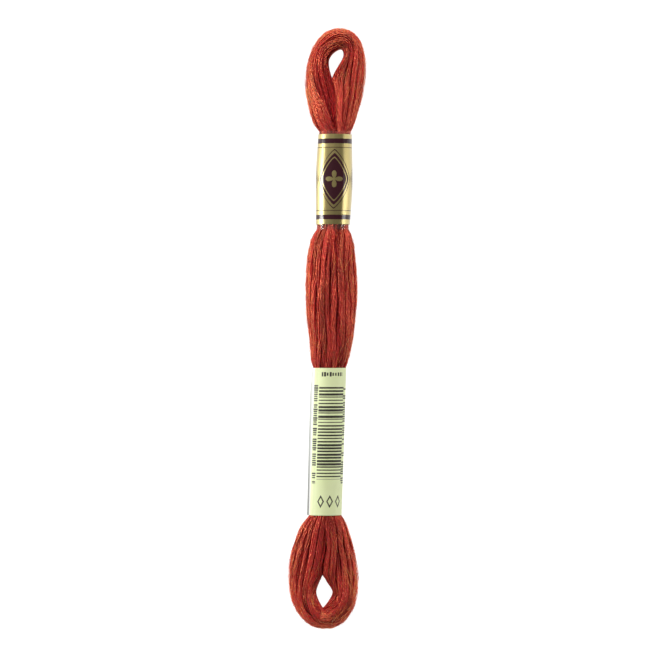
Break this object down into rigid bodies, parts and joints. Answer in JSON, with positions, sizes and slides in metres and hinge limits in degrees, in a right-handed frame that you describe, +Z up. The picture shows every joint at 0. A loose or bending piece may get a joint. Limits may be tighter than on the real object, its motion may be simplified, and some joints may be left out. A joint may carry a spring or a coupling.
{
  "type": "skein of embroidery floss",
  "caption": "Skein of stranded embroidery floss, wound into a long ring, squeezed by a printed film sleeve and a paper label, with an eye open at each end.",
  "frame": {"origin": "on the surface under the middle of the lying skein", "axes": "+Y along the skein towards the loop beside the film sleeve, +X across it, +Z up from the surface"},
  "size_m": [0.0211, 0.1632, 0.0102],
  "materials": {
    "floss": "mercerised cotton, six loosely twisted strands, silky sheen",
    "film": "clear film printed in metallic gold and dark plum, glossy",
    "paper": "pale yellow-green coated paper with dark print, smooth"
  },
  "bodies": {
    "root": {"floss_hank": "floss", "film_band": "film", "paper_label": "paper"}
  },
  "joints": []
}
